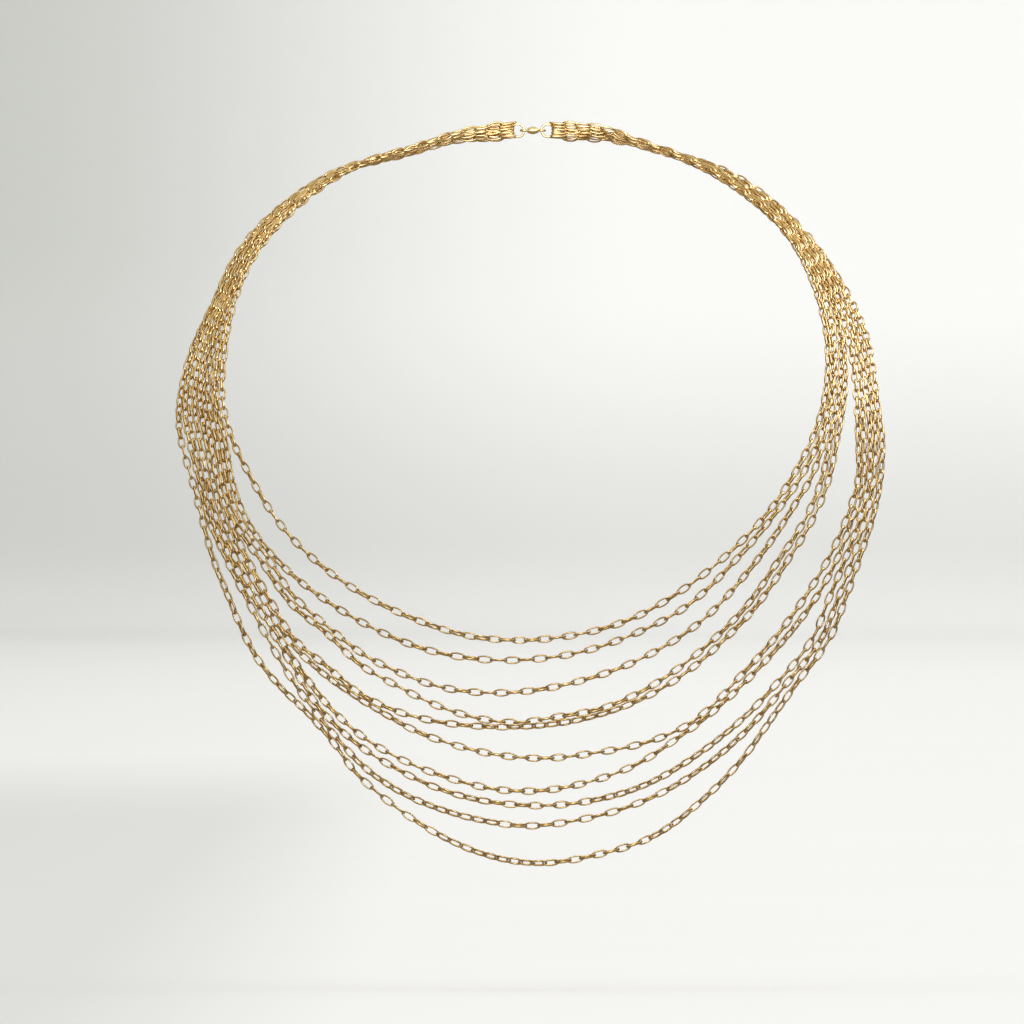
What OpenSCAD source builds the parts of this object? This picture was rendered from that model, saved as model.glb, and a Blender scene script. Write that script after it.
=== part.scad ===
// Multi strand necklace: ten fine cable chains, each longer than the last, that run side by side
// over the shoulders and round the nape, and fan out below the throat.
// Millimetres, +Z up, the front towards -Y. The origin is where the clasp rests on the nape.
// Each chain is a round tube as wide as its links look; the tube narrows to its last link.

/* [Chains] */
// Diameter of the tube that stands for one chain
strand_d = 1; // [0.8:0.05:1]
// Diameter of the tube at its last link, on the end ring
strand_end_d = 0.5; // [0.4:0.05:0.55]

/* [End rings] */
// Outer diameter of an end ring
ring_d = 3.8; // [3.6:0.1:4.6]
// Wire diameter of an end ring
ring_wire_d = 0.55; // [0.45:0.05:0.7]
// Space between an end ring and the last link of each chain
ring_seat = 0.2; // [0.1:0.05:0.3]
// Angle between neighbouring chains of one row where they fan onto an end ring
fan_step = 24; // [22:1:27]
// Space between the front and the back row of chains at an end ring
row_space = 0.1; // [0.05:0.05:0.3]

/* [Clasp] */
// Length of the clasp's barrel
barrel_l = 2.8; // [2.4:0.1:4]
// Diameter of the barrel at its middle
barrel_d = 1.9; // [1.6:0.1:2.4]
// Diameter of the barrel at its ends
barrel_end_d = 1.1; // [0.9:0.1:1.4]
// Wire diameter of the barrel's two eyes
eye_wire_d = 0.6; // [0.5:0.05:0.7]
// Space between an eye and the end ring that it holds
eye_fit = 0.2; // [0.15:0.05:0.3]

/* [Worn size] */
// Width across the outermost chains, where they pass over the shoulders
worn_w = 176; // [174:1:190]
// Drop from the clasp to the lowest point of the longest chain
worn_drop = 183; // [180:1:196]

/* [Drape] */
// Depth of the loop from the nape to the chest
loop_depth = 122; // [110:1:134]
// Height below the nape at which the chains reach the chest
chest_drop = 135; // [125:1:150]
// How far the chest comes forward for each millimetre further down
chest_slope = 0.05; // [0:0.01:0.1]
// How far the shoulders lie behind the middle of the chest
shoulder_set = 22; // [10:1:30]
// How far each chain stands forward of the next shorter one on the chest
strand_lift = 0.9; // [0.8:0.05:1.2]

/* [Hidden] */
ROW = 5;

GOLD = [0.80, 0.62, 0.32];
DARK_GOLD = [0.66, 0.49, 0.24];

TUBE_SIDES = 8;
// Length of chain from one section of its tube to the next
TUBE_STEP = 8.5;
CURVE_FN = 48;
// Straight stretch of each chain where it leaves its ring, and the share of the fan's angle there
LEAD = 1.5;
LEAD_TURN = 0.3;

// The chains' height at which the fan begins, and the height at which strand_lift is whole
LIFT_FROM = 68;
LIFT_FULL = 136;
// Distance from the middle at which shoulder_set is measured
SHOULDER_X = 77;

// Worn width and drop that the tables of places below are drawn for
TABLE_W = 176;
TABLE_DROP = 183;
wide = worn_w / TABLE_W;
tall = worn_drop / TABLE_DROP;

// Places along the clasp, outwards from its middle
ring_mid_d = ring_d - ring_wire_d;
eye_mid_r = (ring_wire_d + eye_wire_d) / 2 + eye_fit;
eye_x = barrel_l / 2 + eye_mid_r;
ring_x = eye_x + ring_mid_d / 2;
clasp_y = barrel_d / 2;
fan_lead = ring_wire_d / 2 + ring_seat + strand_end_d / 2;
row_step = strand_end_d + row_space;

// Columns of the side tables: ACROSS and UP place the shortest chain's middle line in front view.
// OUT, BACK and DOWN are the steps from each chain to the next longer one: sideways, away from the
// viewer and down. SPLIT is the extra sideways space between the fifth and the sixth chain.
ACROSS = 0;
UP = 1;
OUT = 2;
BACK = 3;
DOWN = 4;
SPLIT = 5;

LEFT = [
    [16, -1.25, 0.12, 1.14, 0.18, 0],
    [29, -4, 0.28, 1.11, 0.18, 0],
    [44, -9.25, 0.5, 1.02, 0.08, 0],
    [57, -17.25, 0.68, 0.92, 0.25, 0],
    [67, -27.5, 0.75, 0.86, 0.35, 0],
    [73.5, -40, 0.75, 0.78, 0.35, 0],
    [77, -54, 0.98, 0.45, 0.35, 0],
    [77.5, -67, 1.18, 0.2, 0.3, 0],
    [75, -78, 1.4, -0.1, 0, 0],
];

RIGHT = [
    [16, -0.5, 0.12, 1.14, 0.18, 0],
    [28, -3.25, 0.3, 1.1, 0.18, 0],
    [42, -9, 0.58, 0.98, 0.1, 0],
    [55, -18, 0.82, 0.8, 0.2, 0],
    [65, -28.5, 0.88, 0.75, 0.35, 0],
    [71, -41, 1, 0.55, 0.35, 0],
    [73.5, -54, 1.12, 0.2, 0.25, 0.5],
    [72.5, -68, 1.33, -0.05, 0.1, 1.7],
    [69.5, -78, 1.57, -0.15, 0, 3.6],
];

// How the chains gather at the nape: the distance from the middle, and the share of their spread
// that is left there
GATHER = [[10.5, 0.25], [17, 0.6]];

// Route of each chain below the shoulders in front view, from the left to the right: [across, up]
FRONT = [
    [
     [-70.25, -88], [-63.75, -98], [-53.75, -108], [-42, -116.5], [-29.5, -122.5],
     [-15.75, -126.75], [-1.5, -128], [12.25, -126.25], [25, -122.25], [37, -115.75],
     [47.25, -108], [57, -98], [64.25, -88]
    ],
    [
     [-75, -88], [-71.5, -98], [-64, -108], [-51.75, -118], [-38.25, -125.5], [-24.5, -130.75],
     [-7.75, -133.25], [9.25, -131.5], [25.5, -126], [38, -119], [49.5, -108.5], [58.75, -98.5],
     [66, -88.5]
    ],
    [
     [-76.25, -88], [-73, -98], [-65.75, -108], [-59.5, -117.5], [-50.5, -125.25],
     [-42.25, -131.25], [-33.25, -135.5], [-21.75, -139.25], [-7.75, -140.75], [5.75, -139.5],
     [18.5, -136], [30.25, -130.5], [42.25, -122.5], [51.75, -113], [59.5, -103.25], [66, -93],
     [69, -88]
    ],
    [
     [-77.5, -88], [-74.25, -98], [-67.5, -108], [-60.5, -118.5], [-51.5, -126.25],
     [-42.75, -134.25], [-33.25, -139.5], [-20.75, -145.25], [-5.75, -148.5], [6.75, -147],
     [16.75, -145], [26.25, -141], [39.25, -132.5], [46.5, -126.5], [54.25, -118.5],
     [61.5, -107.75], [67.5, -98], [71.75, -88]
    ],
    [
     [-78.75, -88], [-75.5, -98], [-71, -108], [-65.75, -118], [-59.5, -128], [-50.75, -135],
     [-44.5, -140], [-35.75, -144.75], [-24.75, -148], [-13.25, -149.5], [1.75, -149.25],
     [16.75, -146.25], [28, -141.5], [40.25, -133.75], [47.75, -127.5], [55.75, -119.5],
     [63.25, -108.25], [69, -98.25], [73.25, -88]
    ],
    [
     [-80, -88], [-77, -98], [-72.25, -108], [-67, -118], [-61, -128], [-52, -136.25],
     [-37, -145.75], [-29.5, -149.75], [-20, -153.25], [-8.25, -156.25], [4.25, -157.25],
     [16.75, -155.75], [29.25, -152.75], [39.25, -148], [50.5, -138], [60.25, -127.75],
     [67.5, -118], [73.5, -108], [78, -98], [81, -88]
    ],
    [
     [-81.25, -88], [-78.5, -98], [-73.5, -108], [-68.25, -118], [-62.5, -128], [-57.5, -135.5],
     [-51, -144], [-42.25, -152], [-33.25, -157.25], [-20.75, -162.25], [-8.25, -165.25],
     [3, -165.5], [14.25, -163.25], [26.25, -158.5], [35.75, -152.25], [47.25, -143.5], [53, -138],
     [62, -128], [69.25, -118.5], [75.5, -108], [79.5, -98], [82.5, -88]
    ],
    [
     [-82.5, -88], [-79.75, -98], [-75, -108], [-69.5, -118], [-64, -128], [-59.25, -136],
     [-53.25, -145], [-43.75, -153.75], [-33.25, -160], [-20.75, -165.5], [-7.5, -168.5],
     [4, -169], [14.75, -167.5], [26.75, -163.75], [37.75, -158], [51.5, -148], [61.5, -138],
     [69.5, -128], [73.5, -118], [77.5, -108], [81.25, -98], [84, -88]
    ],
    [
     [-83.75, -88], [-81, -98], [-76.25, -108], [-70.75, -118], [-65.5, -128], [-61, -136],
     [-55.25, -144.5], [-48.75, -152.5], [-42.75, -158.75], [-33.25, -165], [-23.25, -169.25],
     [-13.25, -172.25], [-1.75, -174], [10.5, -173], [21.25, -170.5], [32.75, -165.5],
     [43.25, -158.5], [55, -148.25], [63.75, -138], [71.25, -128], [75.5, -118], [79.5, -108],
     [83, -98], [85.25, -88]
    ],
    [
     [-85, -88], [-82.5, -98], [-79.75, -108], [-75.5, -118], [-69, -131.25], [-62.5, -139.5],
     [-56, -146], [-49.5, -153.75], [-44.25, -161], [-37, -167.5], [-28.25, -173.5],
     [-13.25, -180.5], [1.75, -183.25], [16.75, -181], [29.25, -176.5], [41.75, -167.5],
     [51.75, -158], [59, -148.25], [66, -138], [73.25, -128], [77.5, -118], [81.25, -108],
     [84.5, -98], [86.5, -88]
    ],
];

function mix(a, b, share) = a + (b - a) * share;
function unit(v) = v / norm(v);
function place(p) = [p[0], p[1], p[2]];

// How far towards the viewer the neck and chest hold a chain at a place in front view
function drape_y(across, up) = let(share = min(1, -up / chest_drop))
    -loop_depth * sin(90 * share)
    + shoulder_set * share * pow(across / SHOULDER_X, 2)
    - chest_slope * max(0, -up - chest_drop);

function ease(share) = let(t = max(0, min(1, share))) t * t * (3 - 2 * t);
function lift(k, up) = k * strand_lift * ease((-up - LIFT_FROM) / (LIFT_FULL - LIFT_FROM));

// Points of chain k, each [x, y, z, tube radius]
function row_side(k) = k < ROW ? -1 : 1;
function fan_angle(k) = ((ROW - 1) / 2 - k % ROW - row_side(k) / 4) * fan_step;
function row_y(k) = clasp_y + row_side(k) * row_step / 2;
function fan_z(k, lead) = ring_mid_d / 2 * sin(fan_angle(k)) + lead * sin(LEAD_TURN * fan_angle(k));
function fan_point(k, side, lead) =
    [
        side * (ring_x + ring_mid_d / 2 * cos(fan_angle(k)) + lead * cos(LEAD_TURN * fan_angle(k))),
        row_y(k),
        fan_z(k, lead),
        strand_end_d / 2,
    ];

function gather_point(k, side, row, g) = let(share = g[1])
    [
        side * (g[0] + row[OUT] * k * share),
        mix(row_y(k), drape_y(g[0], row[UP]) + row[BACK] * k, share),
        mix(fan_z(k, fan_lead + LEAD), row[UP] - row[DOWN] * k, share),
        mix(strand_end_d, strand_d, pow(share, 3)) / 2,
    ];

function side_point(k, side, row) =
    let(across = wide * (row[ACROSS] + row[OUT] * k + (k < ROW ? 0 : row[SPLIT])), up = tall * row[UP])
    [
        side * across,
        drape_y(across, up) + row[BACK] * k,
        up - row[DOWN] * k,
        strand_d / 2,
    ];

function front_point(k, p) = let(across = wide * p[ACROSS], up = tall * p[UP])
    [across, drape_y(across, up) - lift(k, up), up, strand_d / 2];

// One side of chain k, from its ring down to where the fan begins
function side_route(k, side, rows) = concat(
    [fan_point(k, side, fan_lead), fan_point(k, side, fan_lead + LEAD)],
    [for (g = GATHER) gather_point(k, side, rows[0], g)],
    [for (i = [1:len(rows) - 1]) side_point(k, side, rows[i])]
);

function reversed(list) = [for (i = [len(list) - 1:-1:0]) list[i]];

function strand_route(k) = concat(
    side_route(k, -1, LEFT),
    [for (p = FRONT[k]) front_point(k, p)],
    reversed(side_route(k, 1, RIGHT))
);

// A smooth curve through a list of points: the slope at each point, and the points between two
function chord(p, i) = norm(p[i + 1] - p[i]);
function slope(p, i) =
    i == 0 ? (p[1] - p[0]) / chord(p, 0) :
    i == len(p) - 1 ? (p[i] - p[i - 1]) / chord(p, i - 1) :
    let(a = chord(p, i - 1), b = chord(p, i))
    ((p[i] - p[i - 1]) * b / a + (p[i + 1] - p[i]) * a / b) / (a + b);
function along(p, i, t) = let(h = chord(p, i), u = 1 - t)
    p[i] * u * u * (1 + 2 * t) + p[i + 1] * t * t * (1 + 2 * u)
    + slope(p, i) * h * t * u * u - slope(p, i + 1) * h * t * t * u;
function smooth(p) = concat(
    [for (i = [0:len(p) - 2], steps = [max(1, round(chord(p, i) / TUBE_STEP))], j = [0:steps - 1])
        along(p, i, j / steps)],
    [p[len(p) - 1]]
);

// Square to the plane that the loop lies in, so no stretch of a chain runs along it
LOOP_NORMAL = [0, -0.76, 0.65];

function tube_ring(c, ahead) = let(n1 = unit(cross(ahead, LOOP_NORMAL)), n2 = cross(unit(ahead), n1))
    [for (j = [0:TUBE_SIDES - 1], a = [360 * j / TUBE_SIDES])
        place(c) + c[3] * (n1 * cos(a) + n2 * sin(a))];

module tube(path) {
    last = len(path) - 1;
    rings = [for (i = [0:last])
        tube_ring(path[i], place(path[min(last, i + 1)]) - place(path[max(0, i - 1)]))];
    points = [for (r = rings, p = r) p];
    sides = [for (i = [0:last - 1], j = [0:TUBE_SIDES - 1]) let(a = i * TUBE_SIDES, b = (j + 1) % TUBE_SIDES)
        [a + j, a + TUBE_SIDES + j, a + TUBE_SIDES + b, a + b]];
    start = [for (j = [0:TUBE_SIDES - 1]) j];
    end = [for (j = [TUBE_SIDES - 1:-1:0]) last * TUBE_SIDES + j];
    polyhedron(points, concat(sides, [start, end]));
}

module strand(k) {
    color(k % 2 == 0 ? GOLD : DARK_GOLD)
    tube(smooth(strand_route(k)));
}

// Closed wire ring round the Z axis
module wire_ring(mid_r, wire_d) {
    rotate_extrude($fn = CURVE_FN)
    translate([mid_r, 0])
    circle(d = wire_d, $fn = CURVE_FN);
}

module end_ring(side) {
    color(GOLD)
    translate([side * ring_x, clasp_y, 0])
    rotate([90, 0, 0])
    wire_ring(ring_mid_d / 2, ring_wire_d);
}

// Half outline of the barrel: its radius swells from the ends to the middle
function barrel_outline(steps) = concat(
    [[0, -barrel_l / 2]],
    [for (i = [0:steps], t = [i / steps])
        [mix(barrel_end_d, barrel_d, sin(180 * t)) / 2, barrel_l * (t - 0.5)]],
    [[0, barrel_l / 2]]
);

module clasp() {
    color(DARK_GOLD)
    translate([0, clasp_y, 0]) {
        rotate([0, 90, 0])
        rotate_extrude($fn = CURVE_FN)
        polygon(barrel_outline(12));
        for (side = [-1, 1])
            translate([side * eye_x, 0, 0])
            wire_ring(eye_mid_r, eye_wire_d);
    }
}

strand(0);  // strand_1
strand(1);  // strand_2
strand(2);  // strand_3
strand(3);  // strand_4
strand(4);  // strand_5
strand(5);  // strand_6
strand(6);  // strand_7
strand(7);  // strand_8
strand(8);  // strand_9
strand(9);  // strand_10
end_ring(-1);  // ring_left
end_ring(1);  // ring_right
clasp();
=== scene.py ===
# %% [markdown]
# # A multi strand necklace of fine cable chain
#
# Ten chains of small oval links hang in a fan below the throat and run together over the shoulders to
# two end rings and a small barrel clasp at the nape. This lesson builds the looks of that necklace:
# the links, the gold, a plain pale floor and a soft studio light.
#
# The solid model already knows where each chain runs. It gives each one as a plain tube, and the
# lesson reads the middle line of that tube and threads real links along it.

# %% Start
import math

import bpy
import numpy as np
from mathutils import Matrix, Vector


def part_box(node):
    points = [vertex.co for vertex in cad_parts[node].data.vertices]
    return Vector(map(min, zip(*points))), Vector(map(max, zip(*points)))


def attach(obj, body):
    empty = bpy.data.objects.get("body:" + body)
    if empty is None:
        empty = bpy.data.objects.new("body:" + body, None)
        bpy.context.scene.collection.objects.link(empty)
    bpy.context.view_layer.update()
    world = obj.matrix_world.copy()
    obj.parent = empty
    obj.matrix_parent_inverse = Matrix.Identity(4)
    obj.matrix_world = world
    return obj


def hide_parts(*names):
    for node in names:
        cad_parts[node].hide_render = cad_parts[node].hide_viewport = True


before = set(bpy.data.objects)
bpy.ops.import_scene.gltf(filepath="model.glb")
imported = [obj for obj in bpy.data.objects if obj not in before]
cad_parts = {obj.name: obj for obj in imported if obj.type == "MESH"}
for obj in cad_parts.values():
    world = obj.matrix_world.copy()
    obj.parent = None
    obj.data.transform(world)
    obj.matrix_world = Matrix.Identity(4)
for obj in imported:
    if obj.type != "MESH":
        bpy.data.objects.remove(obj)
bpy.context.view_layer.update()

MM = 0.001
STRANDS = [f"strand_{i}" for i in range(1, 11)]
RINGS = ["ring_left", "ring_right"]

# %% [markdown]
# ## The camera
#
# The necklace is seen straight from the front, at its own height. A very long lens from ten metres away
# keeps the nape and the chest at nearly the same scale, as in a catalogue picture. The camera looks
# along +Y, and one number, the width of the picture at the necklace, sets how large it appears.

# %% Camera
PICTURE_WIDTH = 256 * MM
CAMERA_DISTANCE = 10.0
LOOK_AT = Vector((-5.25 * MM, -65 * MM, -96 * MM))
SENSOR_WIDTH = 36


def add_camera():
    data = bpy.data.cameras.new("front camera")
    data.sensor_width = SENSOR_WIDTH
    data.lens = SENSOR_WIDTH * CAMERA_DISTANCE / PICTURE_WIDTH
    data.clip_start, data.clip_end = 0.1, 100
    camera = bpy.data.objects.new("front camera", data)
    bpy.context.scene.collection.objects.link(camera)
    camera.location = LOOK_AT - Vector((0, CAMERA_DISTANCE, 0))
    camera.rotation_euler = (math.pi / 2, 0, 0)
    bpy.context.scene.camera = camera
    return camera


camera = add_camera()
print("camera lens", round(camera.data.lens), "mm")

# %% [markdown]
# ## Where each chain runs
#
# The tube of a chain is a row of eight-sided rings of points. Starting at the end next to the left end
# ring, the lesson walks from ring to ring: the next ring is always made of the neighbours that haven't
# been visited yet. The middle of each ring of points lies on the chain's middle line. A list of points
# typed into this script would do as well, but it would be wrong as soon as the solid model changes.

# %% Middle lines of the tubes
TUBE_SIDES = 8
GRID_PER_METRE = 1e7  # doubles land on the same point of this grid


def merged(node):
    """Points of a node's mesh without doubles, and which of them are neighbours."""
    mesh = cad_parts[node].data
    places = np.array([v.co for v in mesh.vertices])
    keys = {}
    number = [keys.setdefault(tuple(np.round(p * GRID_PER_METRE).astype(int)), len(keys)) for p in places]
    points = np.zeros((len(keys), 3))
    points[number] = places
    neighbours = [set() for _ in range(len(keys))]
    for face in mesh.polygons:
        corners = [number[v] for v in face.vertices]
        for a, b in zip(corners, corners[1:] + corners[:1]):
            neighbours[a].add(b)
            neighbours[b].add(a)
    return points, neighbours


def middle_of(node):
    low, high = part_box(node)
    return (np.array(low) + np.array(high)) / 2


def tube_line(node):
    points, neighbours = merged(node)
    away = np.linalg.norm(points - middle_of("ring_left"), axis=1)
    ring = list(np.argsort(away)[:TUBE_SIDES])
    seen, line = set(ring), []
    while ring:
        line.append(points[ring].mean(axis=0))
        ring = [p for p in set().union(*(neighbours[q] for q in ring)) if p not in seen]
        seen.update(ring)
    assert len(seen) == len(points)
    return np.array(line)


def length_of(points):
    return np.linalg.norm(np.diff(points, axis=0), axis=1).sum()


lines = {node: tube_line(node) for node in STRANDS}
for node, line in lines.items():
    print(node, len(line), "sections", round(length_of(line) / MM), "mm")

# %% [markdown]
# ## A smooth line with room for the end links
#
# A real chain hangs in a round curve, while the tube is straight between its sections. A curve through
# the sections makes the bends round. At both ends the line goes a little further than the tube, towards
# the end ring, so that the first and the last link reach round the ring's wire. The middle of such a
# link stands just so far from the wire that the link's own end holds it.
#
# The link's sizes decide the pitch: neighbours hook into each other with a little slack.

# %% Smooth lines
LINK_LENGTH = 4.4 * MM
LINK_WIDTH = 2.0 * MM
WIRE_WIDTH = 0.42 * MM
WIRE_THICKNESS = 0.62 * MM
SLACK = 0.33 * MM  # play where two links hold each other
PITCH = LINK_LENGTH - 2 * WIRE_WIDTH - SLACK
RING_WIRE = 0.55 * MM  # of the end rings, as in the solid model
HOOK_GAP = 0.1 * MM  # play between an end link and its ring
STEP = 0.6 * MM  # between points of the smooth line


def bends(points):
    """Slope of the curve at each point, from its two neighbours, with the nearer one counting more."""
    gaps = np.linalg.norm(np.diff(points, axis=0), axis=1)
    slopes = np.zeros_like(points)
    slopes[0] = (points[1] - points[0]) / gaps[0]
    slopes[-1] = (points[-1] - points[-2]) / gaps[-1]
    a, b = gaps[:-1, None], gaps[1:, None]
    slopes[1:-1] = ((points[1:-1] - points[:-2]) * b / a + (points[2:] - points[1:-1]) * a / b) / (a + b)
    return slopes, gaps


def smooth(points):
    """Short straight steps along a curve through the points."""
    slopes, gaps = bends(points)
    out = []
    for i, gap in enumerate(gaps):
        for t in np.linspace(0, 1, max(2, round(gap / STEP)), endpoint=False):
            u = 1 - t
            out.append(
                points[i] * u * u * (1 + 2 * t)
                + points[i + 1] * t * t * (1 + 2 * u)
                + slopes[i] * gap * t * u * u
                - slopes[i + 1] * gap * t * t * u
            )
    out.append(points[-1])
    return np.array(out)


def ring_wire_near(ring, point):
    """The nearest place on the middle of an end ring's wire. The ring stands in the XZ plane."""
    low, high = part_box(ring)
    centre = middle_of(ring)
    radius = (high[0] - low[0]) / 2 - RING_WIRE / 2
    flat = (point - centre) * np.array([1, 0, 1])
    return centre + flat / np.linalg.norm(flat) * radius


def hooked_end(line, ring):
    """Moves the end of a line to the middle of a link that holds the ring's wire."""
    wire_middle = ring_wire_near(ring, line[0])
    ahead = (line[1] - line[0]) / np.linalg.norm(line[1] - line[0])
    reach = LINK_LENGTH / 2 - WIRE_WIDTH - RING_WIRE / 2 - HOOK_GAP
    along = np.dot(wire_middle - line[0], ahead)
    start = line[0] + ahead * (along + reach)
    skip = next(i for i in range(1, len(line)) if np.dot(line[i] - start, ahead) > PITCH / 2)
    return np.vstack([start, line[skip:]])


def link_line(line):
    line = hooked_end(line, "ring_left")
    line = hooked_end(line[::-1], "ring_right")[::-1]
    return smooth(line)


link_lines = {node: link_line(line) for node, line in lines.items()}
counts = {}
for node, line in link_lines.items():
    spaces = length_of(line) / PITCH
    counts[node] = 2 * round(spaces / 2) + 1
    print(node, round(length_of(line) / MM, 1), "mm,", counts[node], "links")
print("links in all:", sum(counts.values()))

# %% [markdown]
# ## Helpers for node trees
#
# Geometry, materials and the room are all made of nodes. Typed one by one, their links hide what the
# tree does. A small builder adds a node, sets its values and plugs in what it is given, so that a tree
# reads as a list of steps. An input is named by its label, or by its number, as in i0, where several
# have the same label.

# %% Helpers for node trees
COLUMN_WIDTH = 180  # between nodes in the node editor


def add_socket(tree, name, kind, default=None, direction="INPUT"):
    socket = tree.interface.new_socket(name, in_out=direction, socket_type=kind)
    if default is not None:
        socket.default_value = default
    return socket


class Builder:
    """Adds nodes to a tree and links them."""

    def __init__(self, tree):
        self.tree = tree
        self.column = 0

    def node(self, kind, settings=None, **inputs):
        node = self.tree.nodes.new(kind)
        node.location = (self.column * COLUMN_WIDTH, 0)
        self.column += 1
        for name, value in (settings or {}).items():
            setattr(node, name, value)
        for name, value in inputs.items():
            self.feed(node, name.replace("_", " "), value)
        return node

    def feed(self, node, name, value):
        numbered = name[0] == "i" and name[1:].isdigit()
        socket = node.inputs[int(name[1:])] if numbered else node.inputs[name]
        if isinstance(value, bpy.types.NodeSocket):
            self.tree.links.new(value, socket)
        else:
            socket.default_value = value

    def math(self, operation, *values):
        node = self.node("ShaderNodeMath", {"operation": operation})
        for i, value in enumerate(values):
            self.feed(node, f"i{i}", value)
        return node.outputs[0]

    def ramp(self, value, low, high, to_low=0.0, to_high=1.0, kind="LINEAR"):
        """Changes from to_low to to_high while the value goes from low to high."""
        node = self.node("ShaderNodeMapRange", {"interpolation_type": kind}, Value=value)
        limits = {"From Min": low, "From Max": high, "To Min": to_low, "To Max": to_high}
        for name, number in limits.items():
            self.feed(node, name, number)
        return node.outputs[0]

    def soft_step(self, value, low, high):
        return self.ramp(value, low, high, kind="SMOOTHSTEP")

    def mixed(self, share, first, second, blend="MIX"):
        settings = {"data_type": "RGBA", "blend_type": blend}
        return self.node("ShaderNodeMix", settings, i0=share, i6=first, i7=second).outputs[2]


# %% [markdown]
# ## Links along a line, with Geometry Nodes
#
# A cable chain is the same link again and again, each turned a quarter round its neighbour. Geometry
# Nodes are made for that. The tree first draws one link: a circle that is stretched into a long oval,
# with a thin wire swept round it. The wire is a little rolled: narrow in the plane of the link and
# thicker across it. So a link that is seen from its flat side shows a fine outline, and one that is
# half turned looks full, as on the real chain.
#
# Then the tree spreads points evenly along the chain's line, and puts a link on each. Every second link
# is turned by a quarter. Slow random waves roll the chain, slide its links and move it aside a little
# where it hangs free. At the end rings they fade out, because the links are held there.
#
# A loop that copies a link nearly two thousand times would work too. The tree keeps every size as one
# input and the turn of each link as a rule, so a change needs no new copies. The links are realized at
# the end, so that each chain becomes one plain mesh.

# %% The tree of the chain
LINK_CORNERS = 16
WIRE_SIDES = 6
OVAL_SIDES = 0.95  # below 1 the long sides of the oval are straighter than an ellipse's
LOOP_NORMAL = (0.0, -0.76, 0.65)  # nearly square to the slope in which the worn necklace lies

ROLL_AT_THE_RINGS = math.radians(49)
ROLL_WHEN_FREE = math.radians(38)
TWIST = math.radians(170)
WOBBLE = math.radians(9)
SLIDE = 3.2 * MM
WANDER = 1.2 * MM
SETTLED_AFTER = 3.5  # links from an end

# A pair is the number of waves to a link, and where in the noise they start. The noise swings about
# its middle value.
SLIDE_WAVES = (0.05, 5.0)
WANDER_WAVES = (0.07, 400.0)
TWIST_WAVES = (0.045, 900.0)
SEED_APART = 17.3
NOISE_MIDDLE = 0.5


def oval(make, half_length, half_width, corners):
    """A flat oval in the XY plane: a circle that is made long, with its sides made straighter."""
    circle = make.node("GeometryNodeCurvePrimitiveCircle", Resolution=corners, Radius=1.0)
    place = make.node("ShaderNodeSeparateXYZ", Vector=make.node("GeometryNodeInputPosition").outputs[0])
    fuller = make.math("POWER", make.math("ABSOLUTE", place.outputs["Y"]), OVAL_SIDES)
    side = make.math("MULTIPLY", fuller, make.math("SIGN", place.outputs["Y"]))
    x = make.math("MULTIPLY", place.outputs["X"], half_length)
    y = make.math("MULTIPLY", side, half_width)
    new_place = make.node("ShaderNodeCombineXYZ", X=x, Y=y)
    moved = make.node(
        "GeometryNodeSetPosition", Geometry=circle.outputs["Curve"], Position=new_place.outputs[0]
    )
    return moved.outputs[0]


def one_link(make, given):
    """A link round the origin, long in X. Its half sizes are measured to the middle of the wire."""
    half_length = make.math("DIVIDE", make.math("SUBTRACT", given["Link length"], given["Wire width"]), 2.0)
    half_width = make.math("DIVIDE", make.math("SUBTRACT", given["Link width"], given["Wire width"]), 2.0)
    path = oval(make, half_length, half_width, given["Corners"])
    round_wire = make.node("GeometryNodeCurvePrimitiveCircle", Resolution=given["Wire sides"], Radius=0.5)
    section = make.node("ShaderNodeCombineXYZ", X=given["Wire width"], Y=given["Wire thickness"], Z=1.0)
    wire = make.node(
        "GeometryNodeTransform", Geometry=round_wire.outputs["Curve"], Scale=section.outputs[0]
    )
    link = make.node("GeometryNodeCurveToMesh", Curve=path, Profile_Curve=wire.outputs[0])
    return make.node("GeometryNodeSetShadeSmooth", Geometry=link.outputs[0]).outputs[0]


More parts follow.
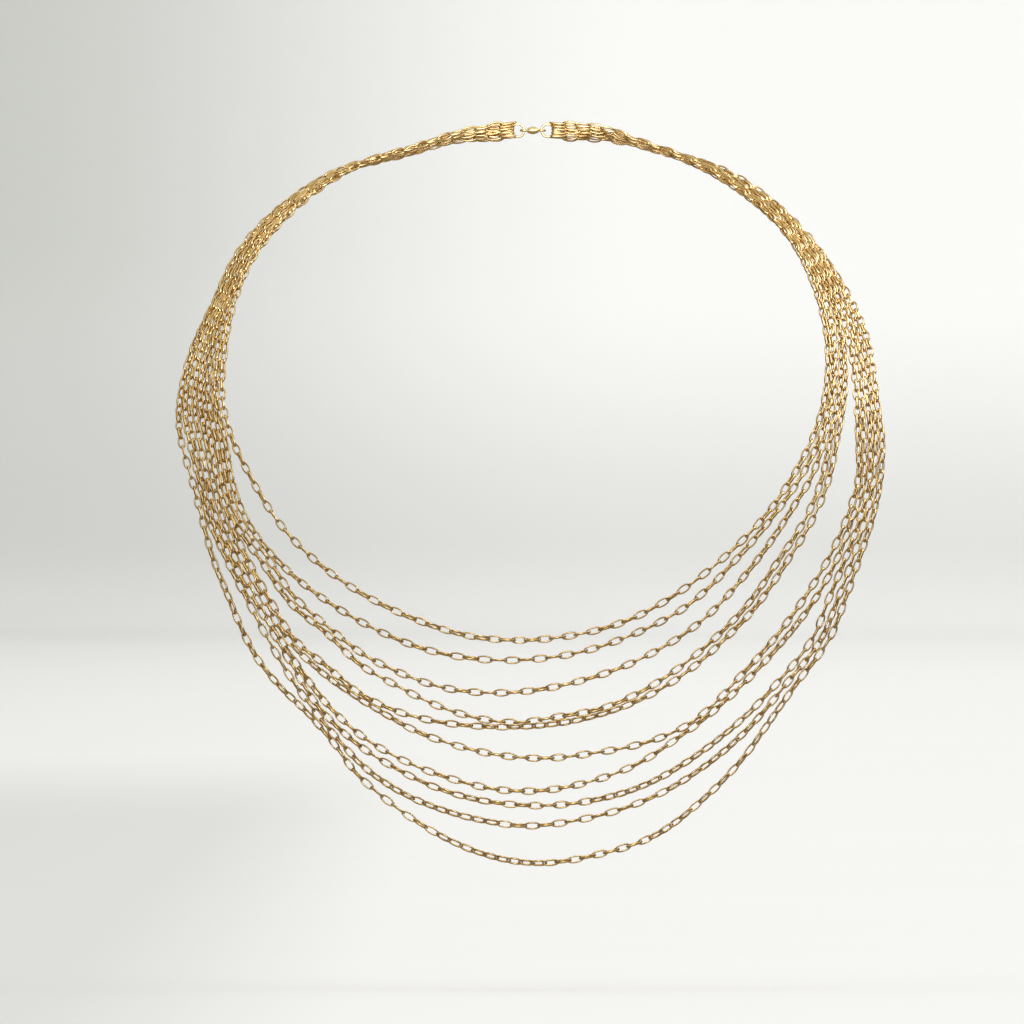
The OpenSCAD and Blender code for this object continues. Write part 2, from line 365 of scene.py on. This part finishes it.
def chain_tree():
    tree = bpy.data.node_groups.new("chain of links", "GeometryNodeTree")
    add_socket(tree, "Line", "NodeSocketGeometry")
    add_socket(tree, "Links", "NodeSocketInt", 100)
    add_socket(tree, "Link length", "NodeSocketFloat", LINK_LENGTH)
    add_socket(tree, "Link width", "NodeSocketFloat", LINK_WIDTH)
    add_socket(tree, "Wire width", "NodeSocketFloat", WIRE_WIDTH)
    add_socket(tree, "Wire thickness", "NodeSocketFloat", WIRE_THICKNESS)
    add_socket(tree, "Corners", "NodeSocketInt", LINK_CORNERS)
    add_socket(tree, "Wire sides", "NodeSocketInt", WIRE_SIDES)
    add_socket(tree, "Roll at the rings", "NodeSocketFloat", ROLL_AT_THE_RINGS)
    add_socket(tree, "Roll when free", "NodeSocketFloat", ROLL_WHEN_FREE)
    add_socket(tree, "Twist", "NodeSocketFloat", TWIST)
    add_socket(tree, "Slide", "NodeSocketFloat", SLIDE)
    add_socket(tree, "Wander", "NodeSocketFloat", WANDER)
    add_socket(tree, "Settled after", "NodeSocketFloat", SETTLED_AFTER)
    add_socket(tree, "Wobble", "NodeSocketFloat", WOBBLE)
    add_socket(tree, "Seed", "NodeSocketInt", 1)
    add_socket(tree, "Gold", "NodeSocketMaterial")
    add_socket(tree, "Chain", "NodeSocketGeometry", direction="OUTPUT")
    make = Builder(tree)
    given = make.node("NodeGroupInput").outputs
    link = one_link(make, given)

    # Points along the line, with the direction of the chain at each.
    spread = make.node("GeometryNodeResampleCurve", Curve=given["Line"], Count=given["Links"])
    index = make.node("GeometryNodeInputIndex").outputs[0]
    tangent = make.node("GeometryNodeInputTangent").outputs[0]
    lie = make.node(
        "FunctionNodeAxesToRotation",
        {"primary_axis": "X", "secondary_axis": "Z"},
        Primary_Axis=tangent,
        Secondary_Axis=LOOP_NORMAL,
    )

    # How free a link is: not at all at the two ends, where the rings hold the chain.
    last = make.math("SUBTRACT", given["Links"], 1.0)
    from_end = make.math("MINIMUM", index, make.math("SUBTRACT", last, index))
    free = make.soft_step(from_end, 0.0, given["Settled after"])
    seed = make.math("MULTIPLY", given["Seed"], SEED_APART)

    def noise(waves):
        scale, start = waves
        node = make.node("ShaderNodeTexNoise", {"noise_dimensions": "1D"}, Scale=scale, Detail=0.0)
        make.feed(node, "W", make.math("ADD", index, make.math("ADD", seed, start)))
        return node.outputs

    def swing(waves, size):
        return make.math("MULTIPLY", make.math("SUBTRACT", noise(waves)[0], NOISE_MIDDLE), size)

    def vector(operation, first, second):
        node = make.node("ShaderNodeVectorMath", {"operation": operation}, i0=first)
        make.feed(node, "Scale" if operation == "SCALE" else "i1", second)
        return node.outputs[0]

    slid = vector("SCALE", tangent, make.math("MULTIPLY", swing(SLIDE_WAVES, given["Slide"]), free))
    aside = vector("SUBTRACT", noise(WANDER_WAVES)[1], (NOISE_MIDDLE,) * 3)
    aside = vector("SCALE", aside, make.math("MULTIPLY", given["Wander"], free))
    moved = vector("ADD", slid, aside)
    strung = make.node("GeometryNodeSetPosition", Geometry=spread.outputs[0], Offset=moved)

    # Roll of each link round the chain: a quarter turn more on every second one.
    quarter = make.math("MULTIPLY", make.math("MODULO", index, 2.0), math.pi / 2)
    loose = make.math("MINIMUM", from_end, 1.0)
    lean = make.math("MULTIPLY", swing(TWIST_WAVES, given["Twist"]), loose)
    wobble = make.node("FunctionNodeRandomValue", {"data_type": "FLOAT"}, Seed=given["Seed"])
    make.feed(wobble, "i2", make.math("MULTIPLY", given["Wobble"], -1.0))
    make.feed(wobble, "i3", given["Wobble"])
    rest = make.ramp(free, 0.0, 1.0, given["Roll at the rings"], given["Roll when free"])
    swung = make.math("ADD", lean, wobble.outputs[1])
    roll = make.math("ADD", make.math("ADD", rest, quarter), swung)
    turn = make.node("FunctionNodeAxisAngleToRotation", Axis=(1.0, 0.0, 0.0), Angle=roll)
    rolled = make.node(
        "FunctionNodeRotateRotation",
        {"rotation_space": "LOCAL"},
        Rotation=lie.outputs[0],
        Rotate_By=turn.outputs[0],
    )

    # A link on each point, realized, with its metal.
    placed = make.node(
        "GeometryNodeInstanceOnPoints", Points=strung.outputs[0], Instance=link, Rotation=rolled.outputs[0]
    )
    whole = make.node("GeometryNodeRealizeInstances", Geometry=placed.outputs[0])
    painted = make.node("GeometryNodeSetMaterial", Geometry=whole.outputs[0], Material=given["Gold"])
    make.node("NodeGroupOutput", i0=painted.outputs[0])
    return tree


chain_nodes = chain_tree()
print("chain tree:", len(chain_nodes.nodes), "nodes")

# %% [markdown]
# ## Gold
#
# The chains look like polished yellow gold: brown where they mirror the dark of the room, cream where
# they mirror its pale parts and the lamps. Most of that comes from what stands round them. The material
# adds what keeps it from looking like plastic: a slow change of tone from place to place, and a fine
# unevenness of the polish, with a little more dullness where the links have rubbed on each other.
#
# The unevenness is a node group, because the chain, the rings and the clasp all use it with different
# amounts.

# %% The polish group
# Scales are in waves to a metre. A range holds the values of the noise between which the gold goes
# from bright to deep, or from smooth to dull.
PATCH_SCALE = 400.0
SCRATCH_SCALE = 3000.0
PATCH_RANGE = (0.35, 0.65)
RUBBED_RANGE = (0.4, 0.75)


def polish_group():
    tree = bpy.data.node_groups.new("uneven polish", "ShaderNodeTree")
    add_socket(tree, "Bright gold", "NodeSocketColor", (0.9, 0.66, 0.3, 1))
    add_socket(tree, "Deep gold", "NodeSocketColor", (0.75, 0.5, 0.2, 1))
    add_socket(tree, "Smooth", "NodeSocketFloat", 0.12)
    add_socket(tree, "Dull", "NodeSocketFloat", 0.3)
    add_socket(tree, "Patch scale", "NodeSocketFloat", PATCH_SCALE)
    add_socket(tree, "Scratch scale", "NodeSocketFloat", SCRATCH_SCALE)
    add_socket(tree, "Colour", "NodeSocketColor", direction="OUTPUT")
    add_socket(tree, "Roughness", "NodeSocketFloat", direction="OUTPUT")
    add_socket(tree, "Height", "NodeSocketFloat", direction="OUTPUT")
    make = Builder(tree)
    given = make.node("NodeGroupInput").outputs
    place = make.node("ShaderNodeTexCoord").outputs["Object"]
    patches = make.node("ShaderNodeTexNoise", Vector=place, Scale=given["Patch scale"], Detail=1.0)
    tone = make.ramp(patches.outputs[0], *PATCH_RANGE)
    rubbed = make.node("ShaderNodeTexNoise", Vector=place, Scale=given["Scratch scale"], Detail=2.0)
    end = make.node("NodeGroupOutput", Height=rubbed.outputs[0])
    make.feed(end, "Colour", make.mixed(tone, given["Bright gold"], given["Deep gold"]))
    make.feed(end, "Roughness", make.ramp(rubbed.outputs[0], *RUBBED_RANGE, given["Smooth"], given["Dull"]))
    return tree


# %% The golds
RELIEF = 0.02 * MM


def gold(name, group, bright, deep, polished, dull, bump):
    material = bpy.data.materials.new(name)
    material.use_nodes = True
    tree = material.node_tree
    make = Builder(tree)
    shader = tree.nodes["Principled BSDF"]
    shader.inputs["Metallic"].default_value = 1.0
    look = make.node(
        "ShaderNodeGroup",
        {"node_tree": group},
        Bright_gold=bright,
        Deep_gold=deep,
        Smooth=polished,
        Dull=dull,
    )
    relief = make.node("ShaderNodeBump", Strength=bump, Distance=RELIEF, Height=look.outputs["Height"])
    make.feed(shader, "Base Color", look.outputs["Colour"])
    make.feed(shader, "Roughness", look.outputs["Roughness"])
    make.feed(shader, "Normal", relief.outputs[0])
    return material


polish = polish_group()
chain_gold = gold(
    "chain gold",
    polish,
    bright=(0.88, 0.69, 0.4, 1),
    deep=(0.7, 0.48, 0.22, 1),
    polished=0.12,
    dull=0.26,
    bump=0.2,
)
ring_gold = gold(
    "ring gold",
    polish,
    bright=(0.88, 0.7, 0.4, 1),
    deep=(0.8, 0.59, 0.3, 1),
    polished=0.1,
    dull=0.25,
    bump=0.2,
)
clasp_gold = gold(
    "clasp gold",
    polish,
    bright=(0.87, 0.68, 0.38, 1),
    deep=(0.78, 0.56, 0.27, 1),
    polished=0.16,
    dull=0.36,
    bump=0.4,
)
print("materials:", [m.name for m in (chain_gold, ring_gold, clasp_gold)])

# %% [markdown]
# ## Threading the chains
#
# Each smooth line becomes a curve, the tree turns it into links, and the finished mesh replaces the
# plain tube. A modifier's inputs are set by their identifiers before the object is evaluated. The
# result is copied to a plain mesh and the modifier goes, so that each chain is only a mesh.

# %% Chains
def line_object(name, points):
    data = bpy.data.curves.new(name, "CURVE")
    data.dimensions = "3D"
    spline = data.splines.new("POLY")
    spline.points.add(len(points) - 1)
    flat = np.c_[points, np.ones(len(points))].ravel()
    spline.points.foreach_set("co", flat.astype(np.float32))
    thing = bpy.data.objects.new(name, data)
    bpy.context.scene.collection.objects.link(thing)
    return thing


def thread_chain(node, number):
    line = line_object(f"{node}_line", link_lines[node])
    modifier = line.modifiers.new("chain", "NODES")
    modifier.node_group = chain_nodes
    values = {"Links": counts[node], "Seed": number, "Gold": chain_gold}
    for item in chain_nodes.interface.items_tree:
        if item.item_type == "SOCKET" and item.in_out == "INPUT" and item.name in values:
            modifier[item.identifier] = values[item.name]
    bpy.context.view_layer.update()
    depsgraph = bpy.context.evaluated_depsgraph_get()
    mesh = bpy.data.meshes.new_from_object(line.evaluated_get(depsgraph), depsgraph=depsgraph)
    line.modifiers.clear()
    data = line.data
    bpy.data.objects.remove(line)
    bpy.data.curves.remove(data)
    chain = bpy.data.objects.new(f"{node}_chain", mesh)
    bpy.context.scene.collection.objects.link(chain)
    return chain


chains = {}
for number, node in enumerate(STRANDS, start=1):
    chain = thread_chain(node, number)
    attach(chain, "root")
    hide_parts(node)
    chains[node] = chain
    print(chain.name, len(chain.data.polygons), "faces")

# %% [markdown]
# ## The end rings and the clasp
#
# At the nape the last links of all ten chains hook onto two round rings, and a small barrel clasp joins
# the rings. They could be modelled again in finer detail, but their solids already have the right
# shape, so they only get their metal.

# %% Rings and clasp
for node, metal in (("ring_left", ring_gold), ("ring_right", ring_gold), ("clasp", clasp_gold)):
    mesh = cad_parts[node].data
    mesh.materials.clear()
    mesh.materials.append(metal)
    print(node, len(mesh.polygons), "faces")

# %% [markdown]
# ## Floor and backdrop
#
# The necklace is shown in a plain pale studio: white in front, with painted shade in a soft grey band
# where the floor turns up, towards the left and at the front left. One sheet of paper is both the floor
# and the backdrop. It runs far back before it bends up, so that the bend looks like a soft horizon.
#
# The greys are painted shade. Lamps could draw them, but then they would change with every lamp that
# is moved for the gold. So the paper itself carries them, and the room lights it evenly.
#
# Polished gold looks like what it mirrors, and in white paper it would look white. Where a mirror ray
# meets the paper, it is therefore a warm brown: dark far back, paler near the necklace.

# %% The paper
# A pair of heights, places or depths is in metres: where a tone begins, and where it is full.
PAPER_FLAT = (0.9, 0.9, 0.895, 1)
# Painted shade: the grey of the band where the floor turns up.
BAND_OF_PAINTED_SHADE = (0.775, 0.775, 0.765, 1)
PAPER_HIGH = (0.95, 0.95, 0.94, 1)
PAINTED_BAND_HEIGHTS = (-0.225, -0.12)
HIGH_HEIGHTS = (-0.13, 0.13)

# Painted shade: the paper is greyer towards its left, more up the backdrop than on the floor.
LEFT_SHADE = (0.62, 0.63, 0.605, 1)
LEFT_PLACES = (0.15, -0.55)
LEFT_HEIGHTS = (-0.25, 0.2)
LEFT_SHARE_ON_FLOOR = 0.35

# Painted shade over the front left of the floor.
CORNER_SHADE = (0.82, 0.82, 0.815, 1)
CORNER_DEPTHS = (10.0, 5.0)
CORNER_PLACES = (-0.03, -0.13)

MOTTLE_GREY = (0.6, 0.6, 0.6, 1)
MOTTLE_SCALE = 2.5
MOTTLE_SHARE = 0.06

MIRRORED_NEAR = (0.3, 0.255, 0.165, 1)
MIRRORED_FAR = (0.06, 0.04, 0.022, 1)
MIRRORED_DEPTHS = (0.5, 3.0)
PAPER_ROUGHNESS = 0.8


def paper_material():
    """White paper with painted shade at its bend, left and front left, and brown where the gold mirrors it.
    """
    material = bpy.data.materials.new("white paper")
    material.use_nodes = True
    make = Builder(material.node_tree)
    shader = material.node_tree.nodes["Principled BSDF"]
    place = make.node("ShaderNodeTexCoord").outputs["Object"]
    where = make.node("ShaderNodeSeparateXYZ", Vector=place).outputs

    # Painted shade: a grey band up the bend of the sheet, pale again above it.
    bend = make.mixed(make.soft_step(where["Z"], *PAINTED_BAND_HEIGHTS), PAPER_FLAT, BAND_OF_PAINTED_SHADE)
    high = make.mixed(make.soft_step(where["Z"], *HIGH_HEIGHTS), bend, PAPER_HIGH)
    # Painted shade towards the left, stronger up the backdrop than on the floor.
    climb = make.math("MULTIPLY", make.soft_step(where["Z"], *LEFT_HEIGHTS), 1 - LEFT_SHARE_ON_FLOOR)
    climb = make.math("ADD", climb, LEFT_SHARE_ON_FLOOR)
    shade = make.math("MULTIPLY", make.soft_step(where["X"], *LEFT_PLACES), climb)
    left = make.mixed(shade, high, LEFT_SHADE, "MULTIPLY")
    # Painted shade over the front left of the floor, near the camera.
    near_left = make.math(
        "MULTIPLY", make.soft_step(where["Y"], *CORNER_DEPTHS), make.soft_step(where["X"], *CORNER_PLACES)
    )
    corner = make.mixed(near_left, left, CORNER_SHADE, "MULTIPLY")
    mottle = make.node("ShaderNodeTexNoise", Vector=place, Scale=MOTTLE_SCALE, Detail=1.0)
    paper = make.mixed(make.math("MULTIPLY", mottle.outputs[0], MOTTLE_SHARE), corner, MOTTLE_GREY)

    brown = make.mixed(make.soft_step(where["Y"], *MIRRORED_DEPTHS), MIRRORED_NEAR, MIRRORED_FAR)
    mirrored = make.node("ShaderNodeLightPath").outputs["Is Glossy Ray"]
    make.feed(shader, "Base Color", make.mixed(mirrored, paper, brown))
    shader.inputs["Roughness"].default_value = PAPER_ROUGHNESS
    return material


# %% The sheet
FLOOR_HEIGHT = -0.215
FLOOR_FRONT = -2.0
BACKDROP_AT = 30.0
BACKDROP_TOP = 12.0
BEND_RADIUS = 1.2
BEND_STEPS = 12
SHEET_HALF_WIDTH = 30.0


def add_sheet():
    """One sheet: a flat floor that bends up, far behind, into the backdrop."""
    profile = [(FLOOR_FRONT, FLOOR_HEIGHT)]
    for i in range(BEND_STEPS + 1):
        angle = math.pi / 2 * i / BEND_STEPS
        away = BACKDROP_AT - BEND_RADIUS * (1 - math.sin(angle))
        profile.append((away, FLOOR_HEIGHT + BEND_RADIUS * (1 - math.cos(angle))))
    profile.append((BACKDROP_AT, BACKDROP_TOP))
    corners = [(x, y, z) for y, z in profile for x in (-SHEET_HALF_WIDTH, SHEET_HALF_WIDTH)]
    faces = [(2 * i, 2 * i + 1, 2 * i + 3, 2 * i + 2) for i in range(len(profile) - 1)]
    mesh = bpy.data.meshes.new("sheet")
    mesh.from_pydata(corners, [], faces)
    mesh.shade_smooth()
    mesh.materials.append(paper_material())
    sheet = bpy.data.objects.new("sheet", mesh)
    bpy.context.scene.collection.objects.link(sheet)
    print("sheet:", len(faces), "faces")


add_sheet()

# %% [markdown]
# ## The lamps
#
# Three soft lamps give the gold its sparkle: one high in front, a long low one before the nape, and one
# above the right shoulder, which is the brighter side. Each is given by the brightness of its face, so
# that its size can change without changing how bright its mirror image is.
#
# The lamps shine on the necklace alone. That is done with light linking, because they stand close to
# the floor and would burn it out. A narrow beam keeps the lamp before the nape off the front chains.

# %% Lamps
def soft_lamp(name, place, aim, size, brightness, receivers, beam=180):
    data = bpy.data.lights.new(name, "AREA")
    data.shape = "RECTANGLE"
    data.size, data.size_y = size
    data.energy = brightness * math.pi * size[0] * size[1]
    data.spread = math.radians(beam)
    lamp = bpy.data.objects.new(name, data)
    bpy.context.scene.collection.objects.link(lamp)
    lamp.location = place
    lamp.rotation_euler = (Vector(aim) - Vector(place)).to_track_quat("-Z", "Y").to_euler()
    lamp.visible_camera = False
    lamp.light_linking.receiver_collection = receivers
    print(name, round(data.energy, 3), "W")


lit = bpy.data.collections.new("lit by the lamps")
for thing in [*chains.values(), *(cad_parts[node] for node in (*RINGS, "clasp"))]:
    lit.objects.link(thing)

soft_lamp(
    "key", place=(0.0, -0.6, 0.3), aim=(0, -0.06, -0.09), size=(0.2, 0.12), brightness=5.0, receivers=lit
)
soft_lamp(
    "before the nape",
    place=(0, -0.13, 0.03),
    aim=(0, 0, 0),
    size=(0.34, 0.08),
    brightness=1.9,
    receivers=lit,
    beam=100,
)
soft_lamp(
    "above the right",
    place=(0.2, -0.02, 0.13),
    aim=(0.083, -0.05, -0.08),
    size=(0.16, 0.16),
    brightness=3.0,
    receivers=lit,
)

# %% [markdown]
# ## The room
#
# The room does two jobs. Seen directly, and as the light on the paper, it is an even pale grey. In the
# mirror of the gold it is dark brown to all sides, with a pale part overhead and a pale upright strip
# in front. Chains that run sideways, in front and over the nape, mirror the pale parts. Chains that
# hang down at the shoulders mirror mostly the dark sides, and look deeper.
#
# A picture of a real studio wrapped round the scene would give richer mirror images. A few soft steps
# between plain tones are enough for wire this thin, and each tone can be set by itself.

# %% Room
# A pair of numbers is a direction's share upwards, aside, or along Y, where the front is negative:
# where a tone begins, and where it is full.
PALE = (1.13, 1.13, 1.12, 1)
DARK_SIDES = (0.045, 0.027, 0.012, 1)
OVERHEAD = (0.95, 0.89, 0.64, 1)
OVERHEAD_FROM = (0.5, 0.85)
FRONT_STRIP = (1.35, 1.27, 1.0, 1)
FRONT_FROM = (-0.6, -0.9)
STRIP_ASIDE = (0.28, 0.06)


def room():
    """Pale where it is seen and lights the paper. In the gold it is dark, with two pale parts."""
    world = bpy.data.worlds.new("room")
    bpy.context.scene.world = world
    world.use_nodes = True
    make = Builder(world.node_tree)
    direction = make.node("ShaderNodeTexCoord").outputs["Generated"]
    way = make.node("ShaderNodeSeparateXYZ", Vector=direction).outputs
    sides_and_top = make.mixed(make.soft_step(way["Z"], *OVERHEAD_FROM), DARK_SIDES, OVERHEAD)
    upright = make.soft_step(make.math("ABSOLUTE", way["X"]), *STRIP_ASIDE)
    strip = make.math("MULTIPLY", make.soft_step(way["Y"], *FRONT_FROM), upright)
    brown = make.mixed(strip, sides_and_top, FRONT_STRIP)
    mirrored = make.node("ShaderNodeLightPath").outputs["Is Glossy Ray"]
    make.feed(world.node_tree.nodes["Background"], "Color", make.mixed(mirrored, PALE, brown))
    print("room:", len(world.node_tree.nodes), "nodes")


room()
bpy.context.scene.view_settings.view_transform = "Standard"
